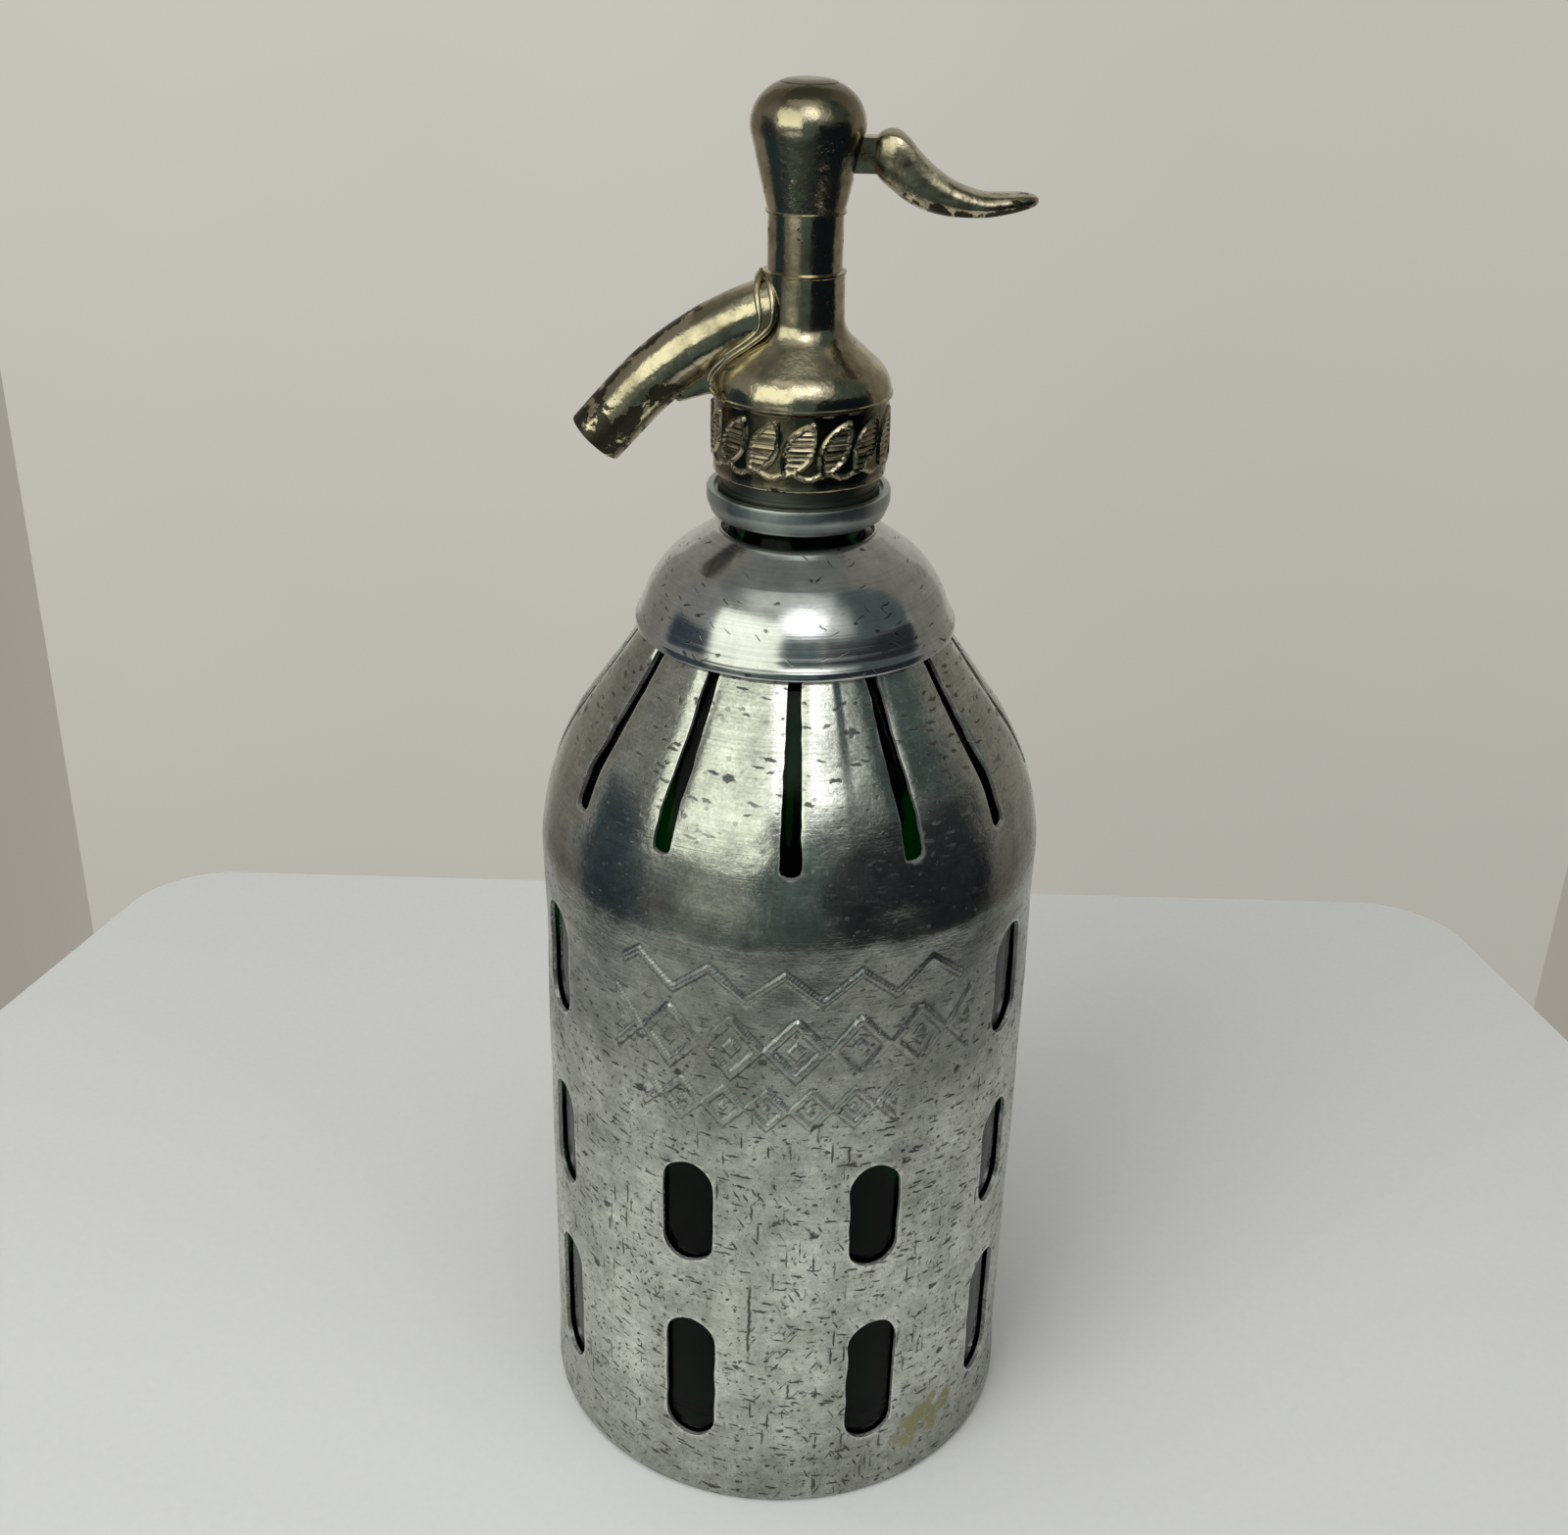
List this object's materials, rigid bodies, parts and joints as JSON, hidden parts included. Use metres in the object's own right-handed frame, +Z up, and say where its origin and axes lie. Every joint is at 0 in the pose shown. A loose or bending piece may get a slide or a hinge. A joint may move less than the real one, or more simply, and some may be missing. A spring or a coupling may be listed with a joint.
{
  "type": "soda siphon",
  "caption": "Refillable soda siphon: green glass bottle in a punched metal jacket, cast head with a curved spout and a sprung thumb lever that lifts the valve plunger.",
  "frame": {"origin": "middle of the base, on the surface that the siphon stands on", "axes": "+Z up along the bottle's axis, the spout points to -X and the lever to +X, the lever's pin lies along Y and the side with the ornament field faces -Y"},
  "size_m": [0.105, 0.105, 0.2909],
  "materials": {
    "jacket_sheet": "aged, brushed round the body",
    "dome_sheet": "spun, satin",
    "ring_metal": "satin grey",
    "seal_rubber": "matte",
    "green_glass": "dark green, clear",
    "clear_glass": "clear",
    "collar_brass": "dull",
    "plated_casting": "worn nickel plating",
    "lever_plating": "worn nickel plating",
    "pin_steel": "plain",
    "spring_steel": "plain",
    "valve_brass": "plain"
  },
  "bodies": {
    "siphon": {"jacket": "jacket_sheet", "shoulder_dome": "dome_sheet", "base_cushion": "seal_rubber", "bottle": "green_glass", "neck_ring": "ring_metal", "collar_half_front": "collar_brass", "collar_half_rear": "collar_brass", "mouth_gasket": "seal_rubber", "head_body": "plated_casting", "top_plug": "plated_casting", "lever_pin": "pin_steel", "valve_seat": "valve_brass", "seat_seal": "seal_rubber", "return_spring": "spring_steel", "tube_holder": "valve_brass", "tube_sleeve": "seal_rubber", "dip_tube": "clear_glass"},
    "lever": {"lever": "lever_plating"},
    "valve": {"plunger": "valve_brass", "plunger_packing": "seal_rubber", "valve_washer": "seal_rubber", "washer_screw": "valve_brass"}
  },
  "joints": [
    {"name": "lever_press", "type": "hinge", "parent": "siphon", "child": "lever", "pos_m": [0.0074, 0, 0.2774], "axis": [0, 1, 0], "range_deg": [0, 16], "stiffness_Nm_per_rad": 0.115, "springref_deg": -37.82},
    {"name": "valve_lift", "type": "slide", "parent": "siphon", "child": "valve", "axis": [0, 0, 1], "range_m": [0, 0.00212], "deforming": ["return_spring"]}
  ],
  "couplings": [
    {"joint": "lever_press", "follows": "valve_lift", "rad_per_m": 131.23}
  ]
}
